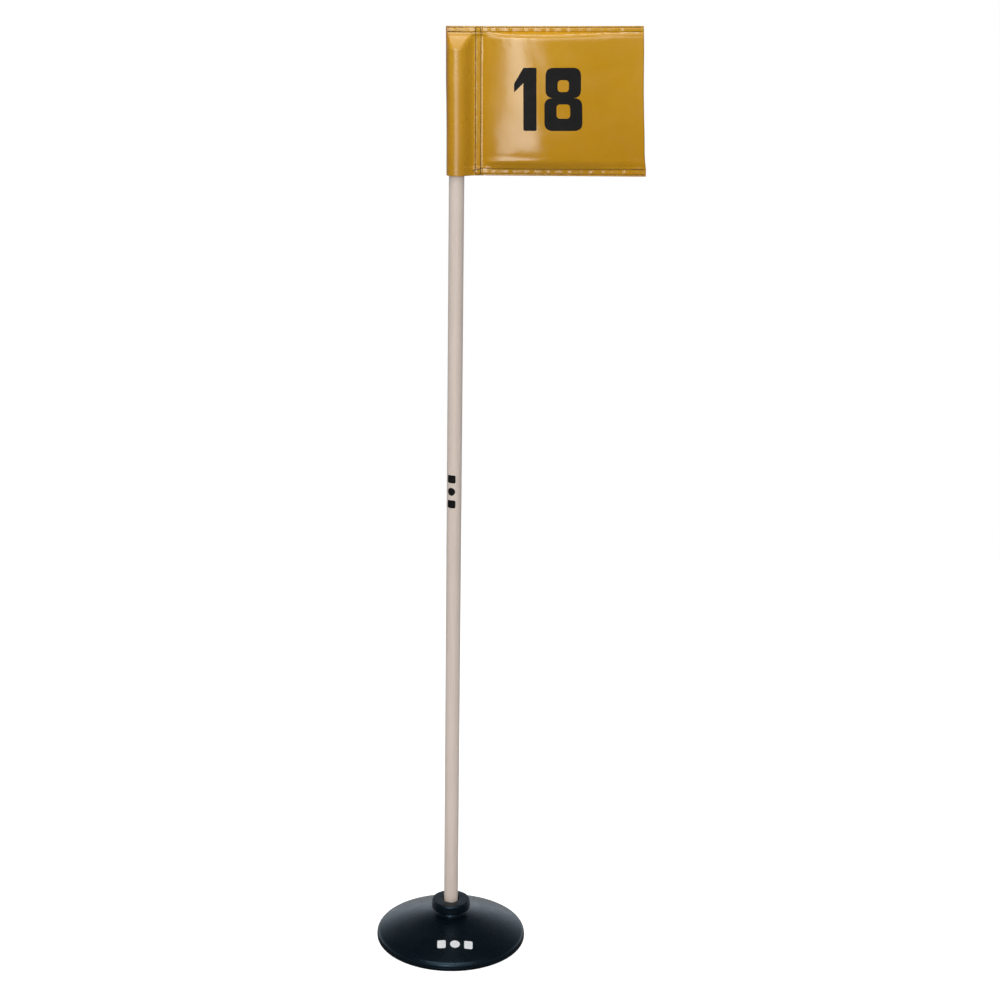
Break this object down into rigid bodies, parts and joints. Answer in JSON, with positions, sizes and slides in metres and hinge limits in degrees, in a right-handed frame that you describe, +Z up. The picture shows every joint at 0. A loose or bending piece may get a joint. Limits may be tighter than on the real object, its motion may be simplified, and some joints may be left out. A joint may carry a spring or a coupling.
{
  "type": "golf flagstick",
  "caption": "Free-standing practice golf flagstick: weighted round rubber base, straight stick in a collared socket, and a small rectangular flag on a stitched sleeve.",
  "frame": {"origin": "on the ground under the middle of the base, in the pad's underside, on the stick's axis", "axes": "+Z up along the stick, +X from the stick towards the flag's fly edge, -Y towards the flag's front face"},
  "size_m": [0.2775, 0.17, 1.03],
  "materials": {
    "base_rubber": "satin moulded rubber, blue-black",
    "black_nylon": "matt moulded nylon, black",
    "ballast_steel": "plain cut steel plate",
    "pad_rubber": "matt closed-cell rubber sheet",
    "screw_steel": "zinc-plated steel",
    "stick_fibreglass": "satin painted glass fibre, beige",
    "flag_vinyl": "glossy vinyl-coated cloth, golden ochre",
    "sewing_thread": "dark brown polyester thread"
  },
  "bodies": {
    "base": {"base_dome": "base_rubber", "grip_collar": "base_rubber", "socket_tube": "black_nylon", "ballast_plate": "ballast_steel", "base_pad": "pad_rubber", "ballast_screw_1": "screw_steel", "ballast_screw_2": "screw_steel", "ballast_screw_3": "screw_steel"},
    "foot": {"foot_plug": "black_nylon"},
    "stick": {"stick_tube": "stick_fibreglass"},
    "tip": {"tip_cap": "black_nylon"},
    "flag": {"flag_sheet": "flag_vinyl", "top_edge_needle_thread": "sewing_thread", "top_edge_bobbin_thread": "sewing_thread", "top_hem_needle_thread": "sewing_thread", "top_hem_bobbin_thread": "sewing_thread", "sleeve_inner_needle_thread": "sewing_thread", "sleeve_inner_bobbin_thread": "sewing_thread", "sleeve_outer_needle_thread": "sewing_thread", "sleeve_outer_bobbin_thread": "sewing_thread", "bottom_hem_needle_thread": "sewing_thread", "bottom_hem_bobbin_thread": "sewing_thread", "bottom_edge_needle_thread": "sewing_thread", "bottom_edge_bobbin_thread": "sewing_thread"}
  },
  "joints": [
    {"name": "stick_lift", "type": "slide", "parent": "base", "child": "foot", "axis": [0, 0, 1], "range_m": [0, 0.038]},
    {"name": "stick_turn", "type": "hinge", "parent": "foot", "child": "stick", "pos_m": [0, 0, 0.01], "axis": [0, 0, 1], "continuous": true},
    {"name": "flag_lift", "type": "slide", "parent": "stick", "child": "tip", "axis": [0, 0, 1], "range_m": [0, 0.13]},
    {"name": "flag_turn", "type": "hinge", "parent": "tip", "child": "flag", "pos_m": [0, 0, 1], "axis": [0, 0, 1], "continuous": true}
  ]
}
